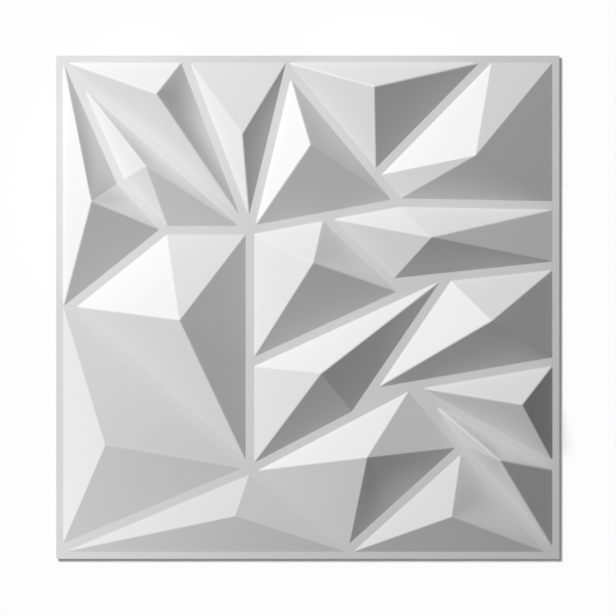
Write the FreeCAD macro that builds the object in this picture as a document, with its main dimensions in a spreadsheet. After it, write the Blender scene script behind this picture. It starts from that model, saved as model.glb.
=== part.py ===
import FreeCAD, Part
import os

import Sketcher

# Three-dimensional wall panel tile: one thermoformed plastic sheet, lying on its open back.
# X runs along the top edge as hung, Y runs up the wall, +Z is the face that the room sees.
# The origin is the centre of the tile on the plane that meets the wall. Lengths are in millimetres.

NODE = "wall_panel"

# The flat web between the facets and around them is the sheet itself. Every channel centre-line
# runs between two of these named points, and the points on the tile's edge have one free
# coordinate only.
SHEET_SIZES = {
    "tile_width": 500.0,
    "sheet": 1.0,
    "rim": 7.0,
    "channel": 8.5,
}

INNER_POINTS = {
    "fork": (-235.0, 235.5),
    "bend": (-186.0, 125.0),
    "elbow": (-141.5, 76.5),
    "hub": (-57.5, 76.5),
    "foot": (-57.5, -161.5),
    "west": (-236.5, 0.5),
    "crown": (-19.0, 236.0),
    "gate": (68.0, 132.5),
    "knee": (90.5, 104.0),
    "branch": (16.0, 90.5),
    "heel": (84.5, 24.5),
    "shelf": (-57.5, -56.0),
    "saddle": (128.0, 29.0),
    "shoulder": (140.0, 30.5),
    "pocket": (46.5, -107.0),
    "star": (101.0, -78.5),
    "spur": (122.8, -99.7),
    "cross": (152.5, -140.0),
}

# Where a centre-line leaves the tile: the edge that it reaches and how far along.
EDGE_POINTS = {
    "corner_run": ("west", 247.5),
    "low_run": ("west", -242.0),
    "left_run": ("north", -124.0),
    "right_run": ("north", 183.5),
    "high_exit": ("east", 101.0),
    "mid_exit": ("east", 42.0),
    "low_exit": ("east", -53.0),
    "foot_exit": ("east", -160.5),
    "end_run": ("south", 247.0),
    "left_exit": ("south", 31.0),
    "right_exit": ("south", 54.0),
}

# One entry for each raised facet. The first item is its peak: how far right of and above the
# tile's centre it stands, and how far it rises over the web. The rest are its foot's sides in
# clockwise order: a word for a side along the rim, or the two points of the centre-line that
# the side follows, with the facet on the right hand.
FACETS = {
    "top_left": ((-150.0, 212.0, 26.0),
                 "north", ("left_run", "hub"), ("hub", "corner_run")),
    "left_inner": ((-160.5, 140.0, 24.5),
                   ("corner_run", "hub"), ("hub", "elbow"), ("elbow", "bend"), ("bend", "fork")),
    "left_upper": ((-215.0, 105.0, 28.0),
                   "west", ("fork", "bend"), ("bend", "elbow"), ("elbow", "west")),
    "top_inner": ((-65.0, 171.5, 18.0),
                  "north", ("crown", "hub"), ("hub", "left_run")),
    "middle_upper": ((2.5, 161.0, 31.0),
                     ("crown", "knee"), ("knee", "hub"), ("hub", "crown")),
    "top_middle": ((66.0, 219.0, 31.0),
                   "north", ("right_run", "gate"), ("knee", "crown")),
    "top_right": ((166.5, 150.5, 31.0),
                  "north", "east", ("high_exit", "knee"), ("knee", "crown"), ("gate", "right_run")),
    "centre_upper": ((5.5, 44.0, 28.0),
                     ("hub", "knee"), ("branch", "heel"), ("saddle", "shelf"), ("foot", "hub")),
    "right_upper": ((123.0, 69.5, 31.0),
                    ("hub", "knee"), ("knee", "high_exit"), "east", ("mid_exit", "heel"),
                    ("heel", "branch")),
    "left_middle": ((-127.0, -13.0, 31.0),
                    ("west", "elbow"), ("elbow", "hub"), ("hub", "foot"), ("foot", "west")),
    "left_lower": ((-201.0, -137.0, 13.5),
                   ("west", "foot"), ("foot", "low_run"), "west"),
    "bottom_left": ((-72.0, -207.5, 9.5),
                    ("low_run", "foot"), ("foot", "right_exit"), "south"),
    "centre_lower": ((59.0, -149.0, 24.0),
                     ("foot", "star"), ("star", "cross"), ("cross", "left_exit"),
                     ("right_exit", "foot")),
    "centre": ((13.5, -65.5, 25.0),
               ("shelf", "saddle"), ("shoulder", "pocket"), ("star", "foot"), ("foot", "hub")),
    "right_middle": ((182.5, -13.5, 31.0),
                     ("heel", "mid_exit"), "east", ("low_exit", "star"), ("pocket", "shoulder")),
    "right_narrow": ((213.0, -96.5, 29.0),
                     ("star", "low_exit"), "east", ("foot_exit", "star")),
    "right_lower": ((190.0, -151.5, 29.0),
                    ("star", "foot_exit"), "east", ("end_run", "cross"), ("cross", "spur")),
    "bottom_right": ((143.0, -208.0, 15.0),
                     ("cross", "end_run"), "south", ("left_exit", "cross")),
}

# Each edge of the tile: the axis that it is measured on and the side of the centre it lies.
EDGES = {"north": ("y", 1), "east": ("x", 1), "south": ("y", -1), "west": ("x", -1)}

doc = FreeCAD.newDocument("wall_panel_tile")
sizes = doc.addObject("Spreadsheet::Sheet", "sizes")
next_row = 1


def store(alias, value):
    """Write one size in the sheet under a name of its own."""
    global next_row
    sizes.set(f"A{next_row}", alias)
    sizes.set(f"B{next_row}", str(value))
    sizes.setAlias(f"B{next_row}", alias)
    next_row += 1


def fill_sheet():
    """Put every driving dimension in the sheet."""
    for alias, value in SHEET_SIZES.items():
        store(alias, value)
    for name, (across, up) in INNER_POINTS.items():
        store(f"{name}_x", across)
        store(f"{name}_y", up)
    for name, (_, along) in EDGE_POINTS.items():
        store(f"{name}_along", along)
    for name, (peak, *_) in FACETS.items():
        for word, value in zip(("x", "y", "rise"), peak):
            store(f"{name}_peak_{word}", value)
    doc.recompute()


def point_rule(point, axis):
    """The sheet formula for one coordinate of a centre-line's end."""
    if point in INNER_POINTS:
        return f"sizes.{point}_{axis}"
    edge_axis, sign = EDGES[EDGE_POINTS[point][0]]
    if axis == edge_axis:
        return f"{sign} * sizes.tile_width / 2"
    return f"sizes.{point}_along"


def point_place(point):
    """The end of a centre-line, worked out from the sheet's values."""
    if point in INNER_POINTS:
        return FreeCAD.Vector(sizes.get(f"{point}_x"), sizes.get(f"{point}_y"), 0)
    edge_axis, sign = EDGES[EDGE_POINTS[point][0]]
    edge = sign * sizes.get("tile_width") / 2
    along = sizes.get(f"{point}_along")
    return FreeCAD.Vector(edge, along, 0) if edge_axis == "x" else FreeCAD.Vector(along, edge, 0)


def side_line(side):
    """A point on one side of a facet's foot, and the side's clockwise direction."""
    if side in EDGES:
        axis, sign = EDGES[side]
        inset = sign * (sizes.get("tile_width") / 2 - sizes.get("rim"))
        if axis == "x":
            return FreeCAD.Vector(inset, 0, 0), FreeCAD.Vector(0, -sign, 0)
        return FreeCAD.Vector(0, inset, 0), FreeCAD.Vector(sign, 0, 0)
    start, end = (point_place(point) for point in side)
    direction = (end - start).normalize()
    right_hand = FreeCAD.Vector(direction.y, -direction.x, 0)
    return start + right_hand * (sizes.get("channel") / 2), direction


def crossing(first, second):
    """Where two sides of a foot meet."""
    (start, direction), (other_start, other_direction) = first, second
    gap = other_start - start
    turn = direction.x * other_direction.y - direction.y * other_direction.x
    reach = (gap.x * other_direction.y - gap.y * other_direction.x) / turn
    return start + direction * reach


def bind(sketch, constraint, name, rule):
    """Add a dimension to a sketch and tie it to the sheet."""
    index = sketch.addConstraint(constraint)
    sketch.renameConstraint(index, name)
    sketch.setExpression(f"Constraints.{name}", rule)


def level_sketch(body, name, height_rule):
    """An empty sketch on a level plane at a height that the sheet gives."""
    ground = next(item for item in body.Origin.OriginFeatures if item.Role == "XY_Plane")
    sketch = body.newObject("Sketcher::SketchObject", name)
    sketch.AttachmentSupport = [(ground, "")]
    sketch.MapMode = "FlatFace"
    sketch.setExpression("AttachmentOffset.Base.z", height_rule)
    return sketch


def draw_loop(sketch, corners):
    """Draw a closed outline through the corners."""
    count = len(corners)
    for number in range(count):
        start, end = corners[number], corners[(number + 1) % count]
        sketch.addGeometry(Part.LineSegment(start, end), False)
    for number in range(count):
        sketch.addConstraint(Sketcher.Constraint("Coincident", number, 2, (number + 1) % count, 1))


def draw_blank(body):
    """The flat sheet before forming."""
    sketch = level_sketch(body, "blank_outline", "0")
    half = sizes.get("tile_width") / 2
    draw_loop(sketch, [FreeCAD.Vector(x * half, y * half, 0)
                       for x, y in ((-1, 1), (1, 1), (1, -1), (-1, -1))])
    for number, edge in enumerate(("north", "east", "south", "west")):
        axis, sign = EDGES[edge]
        sketch.addConstraint(Sketcher.Constraint("Horizontal" if axis == "y" else "Vertical", number))
        distance = Sketcher.Constraint(f"Distance{axis.upper()}", -1, 1, number, 1, sign * half)
        bind(sketch, distance, f"{edge}_edge", f"{sign} * sizes.tile_width / 2")
    blank = body.newObject("PartDesign::Pad", "blank")
    blank.Profile = sketch
    blank.setExpression("Length", "sizes.sheet")
    doc.recompute()


def draw_foot(body, name, sides, height_rule):
    """A facet's foot: each side stands half a channel off its centre-line, or on the rim's line."""
    sketch = level_sketch(body, name, height_rule)
    lines = [side_line(side) for side in sides]
    corners = [crossing(lines[number - 1], lines[number]) for number in range(len(lines))]
    draw_loop(sketch, corners)
    for number, side in enumerate(sides):
        if side in EDGES:
            axis, sign = EDGES[side]
            level = "Horizontal" if axis == "y" else "Vertical"
            sketch.addConstraint(Sketcher.Constraint(level, number))
            inset = sign * (sizes.get("tile_width") / 2 - sizes.get("rim"))
            distance = Sketcher.Constraint(f"Distance{axis.upper()}", -1, 1, number, 1, inset)
            bind(sketch, distance, f"{side}_rim", f"{sign} * (sizes.tile_width / 2 - sizes.rim)")
            continue
        centre_line = sketch.addGeometry(Part.LineSegment(*map(point_place, side)), True)
        for end, point in enumerate(side, 1):
            place = point_place(point)
            for axis, value in (("x", place.x), ("y", place.y)):
                distance = Sketcher.Constraint(f"Distance{axis.upper()}", -1, 1,
                                               centre_line, end, value)
                bind(sketch, distance, f"side_{number}_{point}_{axis}", point_rule(point, axis))
        sketch.addConstraint(Sketcher.Constraint("Parallel", number, centre_line))
        bank = Sketcher.Constraint("Distance", number, 1, centre_line, sizes.get("channel") / 2)
        bind(sketch, bank, f"side_{number}_bank", "sizes.channel / 2")
    return sketch


def draw_peak(body, name, facet, height_rule):
    """The single point that a facet rises to."""
    sketch = level_sketch(body, name, height_rule)
    across, up = sizes.get(f"{facet}_peak_x"), sizes.get(f"{facet}_peak_y")
    point = sketch.addGeometry(Part.Point(FreeCAD.Vector(across, up, 0)), False)
    for axis, value in (("x", across), ("y", up)):
        distance = Sketcher.Constraint(f"Distance{axis.upper()}", -1, 1, point, 1, value)
        bind(sketch, distance, f"peak_{axis}", f"sizes.{facet}_peak_{axis}")
    return sketch


def loft_to_peak(body, kind, name, foot, peak):
    """Join a foot to its peak by flat faces, as added or as removed material."""
    loft = body.newObject(f"PartDesign::{kind}", name)
    loft.Profile = foot
    loft.Sections = [peak]
    loft.Ruled = True
    return loft


def form_facet(body, facet, sides):
    """Press one facet: the front rises, and the hollow behind it follows one sheet lower."""
    rise = f"sizes.{facet}_peak_rise"
    front_foot = draw_foot(body, f"{facet}_front_foot", sides, "sizes.sheet")
    front_peak = draw_peak(body, f"{facet}_front_peak", facet, f"sizes.sheet + {rise}")
    back_foot = draw_foot(body, f"{facet}_back_foot", sides, "0")
    back_peak = draw_peak(body, f"{facet}_back_peak", facet, rise)
    doc.recompute()
    loft_to_peak(body, "AdditiveLoft", f"{facet}_front", front_foot, front_peak)
    doc.recompute()
    hollow = loft_to_peak(body, "SubtractiveLoft", f"{facet}_hollow", back_foot, back_peak)
    doc.recompute()
    return hollow


def check(panel):
    """Stop if any object failed, or if the sheet isn't one sound solid."""
    for item in doc.Objects:
        if "Invalid" in item.State or "Error" in item.State:
            raise RuntimeError(f"{item.Name} failed: {item.State}")
    shape = panel.Shape
    if shape.isNull() or not shape.isValid() or len(shape.Solids) != 1:
        raise RuntimeError(f"{panel.Label} is not one valid solid")
    flat_volume = sizes.get("tile_width") ** 2 * sizes.get("sheet")
    print(f"{panel.Label}: {shape.Volume:.1f} mm3, flat blank {flat_volume:.1f} mm3, "
          f"{len(shape.Faces)} faces, height {shape.BoundBox.ZMax:.2f} mm")


fill_sheet()
panel = doc.addObject("PartDesign::Body", NODE)
panel.Label = NODE
draw_blank(panel)
for facet, (_, *sides) in FACETS.items():
    panel.Tip = form_facet(panel, facet, sides)
doc.recompute()
check(panel)
os.makedirs("parts", exist_ok=True)
panel.Shape.exportStep(f"parts/{NODE}.step")
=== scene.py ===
import math

import bmesh
import bpy
import numpy as np
from bpy.props import FloatProperty, FloatVectorProperty, PointerProperty
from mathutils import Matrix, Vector
from mathutils.geometry import delaunay_2d_cdt


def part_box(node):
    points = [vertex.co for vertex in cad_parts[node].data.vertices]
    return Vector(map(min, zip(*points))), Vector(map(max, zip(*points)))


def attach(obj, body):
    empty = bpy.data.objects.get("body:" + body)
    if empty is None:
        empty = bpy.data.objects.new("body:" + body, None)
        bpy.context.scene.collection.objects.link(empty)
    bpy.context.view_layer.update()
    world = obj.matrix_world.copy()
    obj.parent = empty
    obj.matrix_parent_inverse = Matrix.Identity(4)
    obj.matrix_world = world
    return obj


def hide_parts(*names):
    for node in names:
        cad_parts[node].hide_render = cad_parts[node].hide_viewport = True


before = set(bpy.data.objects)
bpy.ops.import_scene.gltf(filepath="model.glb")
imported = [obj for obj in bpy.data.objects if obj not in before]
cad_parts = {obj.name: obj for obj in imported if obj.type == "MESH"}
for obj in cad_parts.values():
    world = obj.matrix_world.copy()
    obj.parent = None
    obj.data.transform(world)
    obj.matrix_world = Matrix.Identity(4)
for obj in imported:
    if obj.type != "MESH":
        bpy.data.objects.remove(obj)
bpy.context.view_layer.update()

bl_info = {
    "name": "Faceted wall panel tile",
    "version": (1, 0, 0),
    "blender": (4, 5, 0),
    "location": "3D View > Sidebar > Wall panel",
    "description": "Forms a thin plastic sheet into a faceted wall panel tile and sets up its stage",
    "category": "Object",
}

# The tile lies on its open back: X runs along its top edge, Y up the wall, +Z faces the room.
# Lengths are in metres. The place of every ridge and foot comes from the frame.
NODE = "wall_panel"
PIECE = "formed_sheet"
LOW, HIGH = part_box(NODE)
TILE_WIDTH = HIGH.x - LOW.x
MM = 0.001

# A face less steep than this is part of the flat web, and corners closer than the weld are one.
# A point on a face's side still counts as on the face with this slack.
FLAT_SLOPE = 0.01
WELD = 1e-6
SIDE_SLACK = 1e-9

# Lines of the net beside each fold, as shares of the half width of its curve. The points between
# them keep clear of every fold by this share of their spacing. The net is then made of all the
# triangles in the square, which is the first of the choices that Blender gives.
BAND = (-1.6, -1.0, -0.5, 0.0, 0.5, 1.0, 1.6)
NET_CLEARANCE = 1 / 3
ALL_TRIANGLES = 0

# Edges that turn more than this, as the trimmed edge of the sheet does, are shaded sharp.
SHARP_ANGLE = math.radians(60)

# Facets that run out into the flat web in a wide curve. Each entry gives a place beside the
# middle of the foot in mm, the share of the steepness that the curve takes from the foot there,
# and how far up the facet it reaches.
SOFT_FEET = (
    ((-97.0, 167.0), 0.75, 0.6),
    ((-145.0, 149.0), 0.7, 0.6),
    ((-216.0, 183.0), 0.2, 0.5),
    ((-169.0, 100.0), 0.25, 0.5),
    ((51.0, 50.0), 0.4, 0.3),
    ((93.0, -187.0), 0.25, 0.6),
    ((185.0, -130.0), 0.5, 0.7),
    ((199.0, -188.0), 0.5, 0.5),
    ((194.0, -195.0), 0.85, 0.4),
)

# The plastic's refraction, the scales of its faint clouds and of its grain, the share of its
# colour that the dullest cloud keeps, and how far the grain moves its roughness up and down.
PLASTIC_IOR = 1.45
CLOUD_SCALE = 9.0
GRAIN_SCALE = 1400.0
CLOUD_TONE = 0.985
GLOSS_SWING = 0.04

# How the picture that the tile was measured from frames it, and the focal length in mm of the
# camera, which stands far off because that picture has hardly any perspective. The camera sees
# to this many times its distance from the tile.
PHOTO_SIDE_PX = 616
PX_PER_MM = 1.0062
TILE_CENTRE_PX = (307.75, 307.25)
LENS = 800.0
CAMERA_SIGHT = 2

# The floor reaches this far to each side and lies a little under the tile, because a thin formed
# sheet doesn't lie quite flat. The lamps of the floor shine in parallel from any distance.
FLOOR_REACH = 6.0
FLOOR_DROP = 1.5 * MM
FLOOR_LAMP_DISTANCE = 5.0


class SheetSizes(bpy.types.PropertyGroup):
    """Sizes of the formed sheet that the frame doesn't hold."""

    ridge_radius: FloatProperty(
        name="Ridge radius", description="Radius that the sheet takes over the mould's ridges",
        default=2.0 * MM, min=0.1 * MM, unit="LENGTH")
    foot_radius: FloatProperty(
        name="Foot radius", description="Radius where a facet rises from the flat web",
        default=1.0 * MM, min=0.1 * MM, unit="LENGTH")
    net_step: FloatProperty(
        name="Net step", description="Spacing of the net that the sheet is formed from",
        default=9.0 * MM, min=2.0 * MM, unit="LENGTH")
    soft_step: FloatProperty(
        name="Soft step", description="Spacing of the net where a foot has a wide curve",
        default=3.0 * MM, min=1.0 * MM, unit="LENGTH")
    draw_share: FloatProperty(
        name="Draw", description="Share of the mould's depth that the sheet is drawn to",
        default=1.0, min=0.0, max=1.0, subtype="FACTOR")


class SheetFinish(bpy.types.PropertyGroup):
    """Colour and surface of the plastic."""

    colour: FloatVectorProperty(
        name="Colour", description="Colour of the white plastic",
        default=(0.8, 0.8, 0.8), size=3, min=0.0, max=1.0, subtype="COLOR")
    roughness: FloatProperty(
        name="Roughness", description="Roughness of the satin skin",
        default=0.55, min=0.0, max=1.0, subtype="FACTOR")
    grain_depth: FloatProperty(
        name="Grain depth", description="Depth of the fine grain that the mould leaves",
        default=0.01 * MM, min=0.0, unit="LENGTH")


class StageSizes(bpy.types.PropertyGroup):
    """Light and floor."""

    key_place: FloatVectorProperty(
        name="Key lamp", description="Place of the lamp at the upper left",
        default=(-1.27, 1.36, 1.18), size=3, subtype="TRANSLATION", unit="LENGTH")
    key_power: FloatProperty(
        name="Key power", description="Power of the key lamp", default=180.0, min=0.0, unit="POWER")
    fill_place: FloatVectorProperty(
        name="Fill lamp", description="Place of the small lamp at the lower left",
        default=(-0.66, -0.55, 0.26), size=3, subtype="TRANSLATION", unit="LENGTH")
    fill_power: FloatProperty(
        name="Fill power", description="Power of the fill lamp", default=6.8, min=0.0, unit="POWER")
    floor_light: FloatProperty(
        name="Floor light", description="Strength of the light that gives the floor its soft shadow",
        default=4.83, min=0.0)
    floor_light_azimuth: FloatProperty(
        name="Floor light azimuth", description="Where the light of the floor comes from, turned from +X",
        default=math.radians(135), subtype="ANGLE")
    floor_light_height: FloatProperty(
        name="Floor light height", description="How high the light of the floor stands",
        default=math.radians(31), subtype="ANGLE")
    floor_light_spread: FloatProperty(
        name="Floor light spread", description="Width of the light of the floor, which softens its shadow",
        default=math.radians(18), subtype="ANGLE")
    floor_glow: FloatProperty(
        name="Floor glow", description="Strength of the light that lifts the shadow on the floor",
        default=0.85, min=0.0)
    world_level: FloatProperty(
        name="World level", description="Level of the even light from all round",
        default=0.155, min=0.0)
    floor_colour: FloatVectorProperty(
        name="Floor colour", description="Colour of the white floor",
        default=(0.9, 0.9, 0.9), size=3, min=0.0, max=1.0, subtype="COLOR")
    floor_bounce: FloatProperty(
        name="Floor bounce", description="Share of its light that the floor throws back on the tile",
        default=0.05, min=0.0, max=1.0, subtype="FACTOR")


class Crease:
    """One straight fold of the sheet, seen from above: a ridge, or the foot of a facet."""

    def __init__(self, edge):
        first, second = (face.normal for face in edge.link_faces)
        self.start, self.end = (np.array(vert.co[:2]) for vert in edge.verts)
        slopes = [np.array((-normal.x, -normal.y)) / normal.z for normal in (first, second)]
        self.turn = float(np.linalg.norm(slopes[0] - slopes[1]))
        self.is_foot = min(np.linalg.norm(slope) for slope in slopes) < FLAT_SLOPE
        self.length = float(np.linalg.norm(self.end - self.start))
        top = max((vert.co for face in edge.link_faces for vert in face.verts),
                  key=lambda place: place.z)
        self.peak, self.rise = np.array(top[:2]), top.z - min(vert.co.z for vert in edge.verts)
        self.flatter, self.curve_top = 0.0, 0.0

    def reach(self, sizes):
        """How far to each side the sheet's radius reaches, seen from above."""
        radius = sizes.foot_radius if self.is_foot else sizes.ridge_radius
        return radius * math.sin(math.atan(self.turn / 2))

    def gap(self, points):
        """The distance of each point from the fold, seen from above."""
        run = self.end - self.start
        share = np.clip((points - self.start) @ run / (run @ run), 0, 1)
        return np.linalg.norm(points - self.start - share[:, None] * run, axis=1)

    def facet_place(self, points):
        """How far along the foot each point lies, and how far up towards the peak."""
        sides = np.column_stack((self.start - self.peak, self.end - self.peak))
        first, last = np.linalg.solve(sides, (points - self.peak).T)
        down = np.maximum(first + last, WELD)
        return last / down, 1 - first - last

    def eased(self, points):
        """The share of its steepness that the facet loses at the foot, which fades to the ends."""
        along = np.clip(self.facet_place(points)[0], 0, 1)
        return self.flatter * np.sin(math.pi * along) ** 2

    def inside(self, points):
        """Which points lie on the facet."""
        along, up = self.facet_place(points)
        return (along > 0) & (along < 1) & (up > 0)

    def sag(self, points):
        """How far the wide curve of a soft foot draws the facet in.

        The facet rises as a parabola up to the top of the curve, and from there straight on to
        its peak, which stays where it is.
        """
        along, up = self.facet_place(points)
        top = self.curve_top
        depth = np.where(up < top, up - up ** 2 / (top * (2 - top)), (1 - up) * top / (2 - top))
        return np.where(self.inside(points), self.rise * self.eased(points) * depth, 0)


def read_front():
    """The front of the tile, as welded triangles in the frame's place."""
    front = bmesh.new()
    front.from_mesh(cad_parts[NODE].data)
    bmesh.ops.remove_doubles(front, verts=front.verts, dist=WELD)
    front.normal_update()
    behind = [face for face in front.faces if face.normal.z < FLAT_SLOPE]
    bmesh.ops.delete(front, geom=behind, context="FACES")
    return front


def sheet_gauge():
    """The thickness of the sheet: the lowest level of the node above its back."""
    levels = (vert.co.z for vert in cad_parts[NODE].data.vertices)
    return min(level for level in levels if level > WELD)


def find_creases(front):
    """Every ridge and foot of the front."""
    folded = (edge for edge in front.edges
              if len(edge.link_faces) == 2 and edge.calc_face_angle() > FLAT_SLOPE)
    creases = [Crease(edge) for edge in folded]
    feet = [crease for crease in creases if crease.is_foot]
    for place, flatter, curve_top in SOFT_FEET:
        place = np.array([place]) * MM
        foot = min(feet, key=lambda crease: crease.gap(place)[0])
        foot.flatter, foot.curve_top = flatter, curve_top
    return creases


def heights_on(front, points):
    """How high the sharp front lies over the web at each point."""
    web = min(vert.co.z for vert in front.verts)
    heights = np.zeros(len(points))
    for face in front.faces:
        corners = [np.array(vert.co) for vert in face.verts]
        inside = np.ones(len(points), bool)
        for number, corner in enumerate(corners):
            step = corners[(number + 1) % len(corners)] - corner
            side = step[0] * (points[:, 1] - corner[1]) - step[1] * (points[:, 0] - corner[0])
            inside &= side >= -SIDE_SLACK
        slope = -np.array(face.normal[:2]) / face.normal.z
        found = corners[0][2] - web + (points[inside] - corners[0][:2]) @ slope
        heights[inside] = found
    return heights


def softened(creases, points, heights, sizes):
    """The heights with every ridge lowered and every foot filled to its radius.

    A parabola that touches the flat faces on both sides of the fold stands in for the radius.
    Where several folds meet, the deepest of them counts, so that corners get no dimple.
    """
    lowered, filled = np.zeros(len(points)), np.zeros(len(points))
    sagged = heights.copy()
    for crease in creases:
        reach = crease.reach(sizes)
        start = reach
        if crease.flatter:
            sagged -= crease.sag(points)
            start = reach * (1 - crease.eased(points))
        short = np.clip(start - crease.gap(points), 0, None)
        change = short ** 2 * crease.turn / (4 * reach)
        deepest = filled if crease.is_foot else lowered
        np.maximum(deepest, change, out=deepest)
    return np.clip(sagged + filled - lowered, 0, None)


def line_points(start, end, step, fine):
    """Points along a line, up to a step apart and closer together near its ends."""
    length = float(np.linalg.norm(end - start))
    marks, mark = [0.0], fine
    while mark < length / 2:
        marks.append(mark)
        mark += min(max(mark, fine), step)
    shares = [mark / length for mark in marks]
    shares += [1 - share for share in reversed(shares)]
    return [start + (end - start) * share for share in shares]


def net_lines(creases, sizes):
    """Lines for the net to follow: the tile's edge, and a band of lines along each fold."""
    corners = [np.array(corner) for corner in ((LOW.x, LOW.y), (HIGH.x, LOW.y),
                                               (HIGH.x, HIGH.y), (LOW.x, HIGH.y))]
    for number, corner in enumerate(corners):
        after = corners[(number + 1) % len(corners)]
        yield line_points(corner, after, sizes.net_step, sizes.net_step)
    for crease in creases:
        along = (crease.end - crease.start) / crease.length
        across = np.array((-along[1], along[0]))
        reach = crease.reach(sizes)
        for offset in BAND:
            shift = across * reach * offset
            yield line_points(crease.start + shift, crease.end + shift, sizes.net_step, reach)


def net_fill(creases, step, curved):
    """Points between the lines, on the facets with a wide curve or on all the rest."""
    count = int(TILE_WIDTH / step)
    marks = (np.arange(count) + 0.5) / count * TILE_WIDTH
    grid = np.array([(LOW.x + x, LOW.y + y) for x in marks for y in marks])
    on_curve = np.any([crease.inside(grid) for crease in creases if crease.flatter], axis=0)
    grid = grid[on_curve == curved]
    clear = np.min([crease.gap(grid) for crease in creases], axis=0)
    return grid[clear > step * NET_CLEARANCE]


def make_net(sizes):
    """The flat blank as a net of triangles, with the height that each point is drawn to."""
    front = read_front()
    creases = find_creases(front)
    points, edges = [], []
    for line in net_lines(creases, sizes):
        first = len(points)
        points += line
        edges += [(number, number + 1) for number in range(first, len(points) - 1)]
    points += list(net_fill(creases, sizes.net_step, False))
    points += list(net_fill(creases, sizes.soft_step, True))
    result = delaunay_2d_cdt([Vector(point) for point in points], edges, [], ALL_TRIANGLES, WELD)
    places, faces = np.array(result[0]), result[2]
    heights = softened(creases, places, heights_on(front, places), sizes)
    front.free()
    mesh = bpy.data.meshes.new("blank")
    mesh.from_pydata([(x, y, 0.0) for x, y in places], [], faces)
    mesh.attributes.new("rise", "FLOAT", "POINT").data.foreach_set("value", heights)
    return mesh


def add_node(tree, kind, **values):
    """Add a node and set its properties."""
    node = tree.nodes.new(kind)
    for name, value in values.items():
        setattr(node, name, value)
    return node


def forming_tree():
    """Geometry nodes that draw the flat blank up to its relief and give it the sheet's thickness."""
    tree = bpy.data.node_groups.new("form_sheet", "GeometryNodeTree")
    sockets = tree.interface
    sockets.new_socket("Blank", in_out="INPUT", socket_type="NodeSocketGeometry")
    sockets.new_socket("Sheet", in_out="INPUT", socket_type="NodeSocketFloat").subtype = "DISTANCE"
    sockets.new_socket("Draw", in_out="INPUT", socket_type="NodeSocketFloat")
    sockets.new_socket("Sharp Angle", in_out="INPUT", socket_type="NodeSocketFloat").subtype = "ANGLE"
    sockets.new_socket("Finish", in_out="INPUT", socket_type="NodeSocketMaterial")
    sockets.new_socket("Panel", in_out="OUTPUT", socket_type="NodeSocketGeometry")
    link = tree.links.new
    given = add_node(tree, "NodeGroupInput").outputs
    rise = add_node(tree, "GeometryNodeInputNamedAttribute", data_type="FLOAT")
    rise.inputs["Name"].default_value = "rise"
    drawn = add_node(tree, "ShaderNodeMath", operation="MULTIPLY")
    link(rise.outputs["Attribute"], drawn.inputs[0])
    link(given["Draw"], drawn.inputs[1])
    lift = add_node(tree, "ShaderNodeCombineXYZ")
    link(drawn.outputs[0], lift.inputs["Z"])
    back = add_node(tree, "GeometryNodeSetPosition")
    link(given["Blank"], back.inputs["Geometry"])
    link(lift.outputs[0], back.inputs["Offset"])
    gauge = add_node(tree, "ShaderNodeCombineXYZ")
    link(given["Sheet"], gauge.inputs["Z"])
    front = add_node(tree, "GeometryNodeExtrudeMesh", mode="FACES")
    front.inputs["Individual"].default_value = False
    link(back.outputs[0], front.inputs["Mesh"])
    link(gauge.outputs[0], front.inputs["Offset"])
    hollow = add_node(tree, "GeometryNodeFlipFaces")
    link(back.outputs[0], hollow.inputs[0])
    join = add_node(tree, "GeometryNodeJoinGeometry")
    link(front.outputs["Mesh"], join.inputs[0])
    link(hollow.outputs[0], join.inputs[0])
    weld = add_node(tree, "GeometryNodeMergeByDistance")
    weld.inputs["Distance"].default_value = WELD
    link(join.outputs[0], weld.inputs["Geometry"])
    smooth = add_node(tree, "GeometryNodeSetShadeSmooth", domain="FACE")
    link(weld.outputs[0], smooth.inputs["Geometry"])
    angle = add_node(tree, "GeometryNodeInputMeshEdgeAngle")
    sharp = add_node(tree, "FunctionNodeCompare", data_type="FLOAT", operation="GREATER_THAN")
    link(angle.outputs["Unsigned Angle"], sharp.inputs[0])
    link(given["Sharp Angle"], sharp.inputs[1])
    crisp = add_node(tree, "GeometryNodeSetShadeSmooth", domain="EDGE")
    crisp.inputs["Shade Smooth"].default_value = False
    link(smooth.outputs[0], crisp.inputs["Geometry"])
    link(sharp.outputs[0], crisp.inputs["Selection"])
    real = add_node(tree, "GeometryNodeRealizeInstances")
    link(crisp.outputs[0], real.inputs[0])
    coat = add_node(tree, "GeometryNodeSetMaterial")
    link(real.outputs[0], coat.inputs["Geometry"])
    link(given["Finish"], coat.inputs["Material"])
    link(coat.outputs[0], add_node(tree, "NodeGroupOutput").inputs[0])
    return tree


def set_inputs(modifier, values):
    """Give a geometry nodes modifier its inputs by their names."""
    for item in modifier.node_group.interface.items_tree:
        if item.in_out == "INPUT" and item.name in values:
            modifier[item.identifier] = values[item.name]


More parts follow.
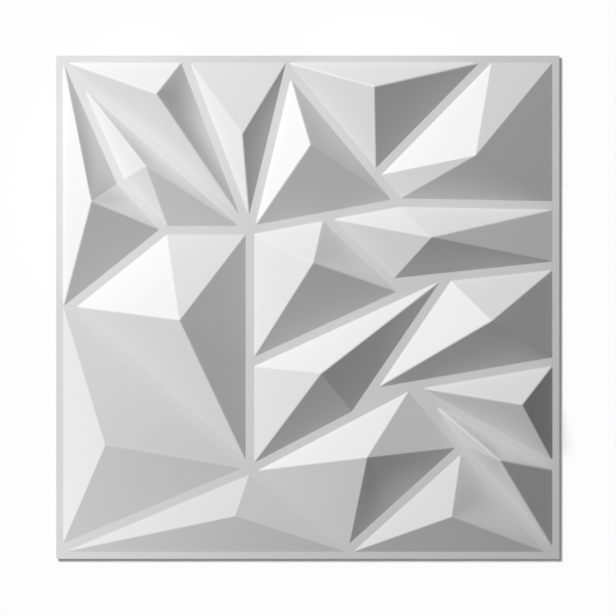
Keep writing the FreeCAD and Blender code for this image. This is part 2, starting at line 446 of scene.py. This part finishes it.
def plastic_material(finish):
    """White satin plastic: a faintly cloudy colour, and a fine grain in its gloss and surface."""
    material = bpy.data.materials.new("white_satin_plastic")
    material.use_nodes = True
    tree = material.node_tree
    link = tree.links.new
    shader = tree.nodes["Principled BSDF"]
    shader.inputs["IOR"].default_value = PLASTIC_IOR
    place = add_node(tree, "ShaderNodeTexCoord")
    cloud = add_node(tree, "ShaderNodeTexNoise")
    cloud.inputs["Scale"].default_value = CLOUD_SCALE
    link(place.outputs["Object"], cloud.inputs["Vector"])
    tone = add_node(tree, "ShaderNodeMapRange")
    tone.inputs["To Min"].default_value = CLOUD_TONE
    tone.inputs["To Max"].default_value = 1.0
    link(cloud.outputs["Fac"], tone.inputs["Value"])
    colour = add_node(tree, "ShaderNodeVectorMath", operation="SCALE")
    colour.inputs[0].default_value = finish.colour
    link(tone.outputs[0], colour.inputs["Scale"])
    link(colour.outputs[0], shader.inputs["Base Color"])
    grain = add_node(tree, "ShaderNodeTexNoise")
    grain.inputs["Scale"].default_value = GRAIN_SCALE
    link(place.outputs["Object"], grain.inputs["Vector"])
    gloss = add_node(tree, "ShaderNodeMapRange")
    gloss.inputs["To Min"].default_value = finish.roughness - GLOSS_SWING
    gloss.inputs["To Max"].default_value = finish.roughness + GLOSS_SWING
    link(grain.outputs["Fac"], gloss.inputs["Value"])
    link(gloss.outputs[0], shader.inputs["Roughness"])
    bump = add_node(tree, "ShaderNodeBump")
    bump.inputs["Distance"].default_value = finish.grain_depth
    link(grain.outputs["Fac"], bump.inputs["Height"])
    link(bump.outputs[0], shader.inputs["Normal"])
    return material


class FormSheet(bpy.types.Operator):
    """Form the sheet over its facets"""

    bl_idname = "wall_panel.form_sheet"
    bl_label = "Formed sheet"

    def execute(self, context):
        sizes = context.scene.sheet_sizes
        blank = bpy.data.objects.new("blank", make_net(sizes))
        context.scene.collection.objects.link(blank)
        modifier = blank.modifiers.new("form", "NODES")
        modifier.node_group = forming_tree()
        set_inputs(modifier, {
            "Sheet": sheet_gauge(),
            "Draw": sizes.draw_share,
            "Sharp Angle": SHARP_ANGLE,
            "Finish": plastic_material(context.scene.sheet_finish),
        })
        weights = blank.modifiers.new("normals", "WEIGHTED_NORMAL")
        weights.keep_sharp = True
        evaluated = blank.evaluated_get(context.evaluated_depsgraph_get())
        mesh = bpy.data.meshes.new_from_object(evaluated)
        mesh.name = PIECE
        piece = bpy.data.objects.new(PIECE, mesh)
        context.scene.collection.objects.link(piece)
        bpy.data.meshes.remove(blank.data)
        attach(piece, "root")
        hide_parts(NODE)
        return {"FINISHED"}


def floor_material(colour, bounce):
    """A floor that is white to the camera and throws little light back on the tile."""
    material = bpy.data.materials.new("white_floor")
    material.use_nodes = True
    tree = material.node_tree
    link = tree.links.new
    shader = tree.nodes["Principled BSDF"]
    shader.inputs["Roughness"].default_value = 1.0
    ray = add_node(tree, "ShaderNodeLightPath").outputs
    seen = ray["Is Camera Ray"]
    for other in ("Is Glossy Ray", "Is Transmission Ray"):
        either = add_node(tree, "ShaderNodeMath", operation="MAXIMUM")
        link(seen, either.inputs[0])
        link(ray[other], either.inputs[1])
        seen = either.outputs[0]
    shade = add_node(tree, "ShaderNodeMix", data_type="RGBA")
    link(seen, shade.inputs["Factor"])
    shade.inputs["A"].default_value = (bounce, bounce, bounce, 1)
    shade.inputs["B"].default_value = (*colour, 1)
    link(shade.outputs["Result"], shader.inputs["Base Color"])
    return material


def add_camera(scene):
    """A camera far above the tile, so that the view is almost without perspective."""
    data = bpy.data.cameras.new("camera")
    data.lens = LENS
    camera = bpy.data.objects.new("camera", data)
    scene.collection.objects.link(camera)
    photo_side = PHOTO_SIDE_PX / PX_PER_MM * MM
    camera.location = (
        (PHOTO_SIDE_PX / 2 - TILE_CENTRE_PX[0]) / PX_PER_MM * MM,
        (TILE_CENTRE_PX[1] - PHOTO_SIDE_PX / 2) / PX_PER_MM * MM,
        photo_side / 2 / math.tan(data.angle / 2),
    )
    data.clip_end = CAMERA_SIGHT * camera.location.z
    scene.camera = camera


def add_floor(scene, stage):
    """A plain white floor under the tile."""
    mesh = bpy.data.meshes.new("floor")
    corners = [(x * FLOOR_REACH, y * FLOOR_REACH, 0) for x, y in ((-1, -1), (1, -1), (1, 1), (-1, 1))]
    mesh.from_pydata(corners, [], [(0, 1, 2, 3)])
    mesh.materials.append(floor_material(stage.floor_colour, stage.floor_bounce))
    floor = bpy.data.objects.new("floor", mesh)
    floor.location.z = -FLOOR_DROP
    scene.collection.objects.link(floor)
    return floor


def add_lamp(scene, name, kind, place, lit):
    """A lamp that shines on the tile's centre and lights only the given object."""
    data = bpy.data.lights.new(name, kind)
    lamp = bpy.data.objects.new(name, data)
    lamp.location = place
    lamp.rotation_euler = Vector(place).to_track_quat("Z", "Y").to_euler()
    scene.collection.objects.link(lamp)
    receivers = bpy.data.collections.new(name)
    receivers.objects.link(lit)
    lamp.light_linking.receiver_collection = receivers
    return data


def light_tile(scene, stage, tile):
    """Two lamps that light the tile alone, without shadows."""
    lamps = (("key", stage.key_place, stage.key_power), ("fill", stage.fill_place, stage.fill_power))
    for name, place, power in lamps:
        lamp = add_lamp(scene, name, "POINT", place, tile)
        lamp.energy = power
        lamp.use_shadow = False


def light_floor(scene, stage, floor):
    """A soft light that gives the floor the tile's shadow, and an even one that keeps it pale."""
    azimuth, height = stage.floor_light_azimuth, stage.floor_light_height
    level = math.cos(height)
    direction = Vector((level * math.cos(azimuth), level * math.sin(azimuth), math.sin(height)))
    place = direction * FLOOR_LAMP_DISTANCE
    soft = add_lamp(scene, "floor_light", "SUN", place, floor)
    soft.energy = stage.floor_light
    soft.angle = stage.floor_light_spread
    glow = add_lamp(scene, "floor_glow", "SUN", place, floor)
    glow.energy = stage.floor_glow
    glow.use_shadow = False


def add_world(scene, stage):
    """An even white light from all round."""
    world = bpy.data.worlds.new("studio")
    world.use_nodes = True
    background = world.node_tree.nodes["Background"]
    background.inputs["Color"].default_value = (1, 1, 1, 1)
    background.inputs["Strength"].default_value = stage.world_level
    scene.world = world


class SetStage(bpy.types.Operator):
    """Add the floor, the light and the camera"""

    bl_idname = "wall_panel.set_stage"
    bl_label = "Stage"

    def execute(self, context):
        scene = context.scene
        stage = scene.stage_sizes
        floor = add_floor(scene, stage)
        light_tile(scene, stage, scene.objects[PIECE])
        light_floor(scene, stage, floor)
        add_world(scene, stage)
        add_camera(scene)
        scene.view_settings.view_transform = "Standard"
        return {"FINISHED"}


class WallPanelPanel(bpy.types.Panel):
    """Sidebar panel that lists the steps of the tile"""

    bl_idname = "VIEW3D_PT_wall_panel"
    bl_label = "Wall panel tile"
    bl_space_type = "VIEW_3D"
    bl_region_type = "UI"
    bl_category = "Wall panel"

    def draw(self, context):
        scene = context.scene
        for group in (scene.sheet_sizes, scene.sheet_finish, scene.stage_sizes):
            for name in group.__annotations__:
                self.layout.prop(group, name)
        for operator in (FormSheet, SetStage):
            self.layout.operator(operator.bl_idname)


CLASSES = (SheetSizes, SheetFinish, StageSizes, FormSheet, SetStage, WallPanelPanel)


def register():
    """Make the properties, steps and panel known to Blender."""
    for item in CLASSES:
        bpy.utils.register_class(item)
    bpy.types.Scene.sheet_sizes = PointerProperty(type=SheetSizes)
    bpy.types.Scene.sheet_finish = PointerProperty(type=SheetFinish)
    bpy.types.Scene.stage_sizes = PointerProperty(type=StageSizes)


def unregister():
    """Take them away again."""
    del bpy.types.Scene.stage_sizes
    del bpy.types.Scene.sheet_finish
    del bpy.types.Scene.sheet_sizes
    for item in reversed(CLASSES):
        bpy.utils.unregister_class(item)


def main():
    """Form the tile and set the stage."""
    register()
    bpy.ops.wall_panel.form_sheet()
    bpy.ops.wall_panel.set_stage()


if __name__ == "__main__":
    main()
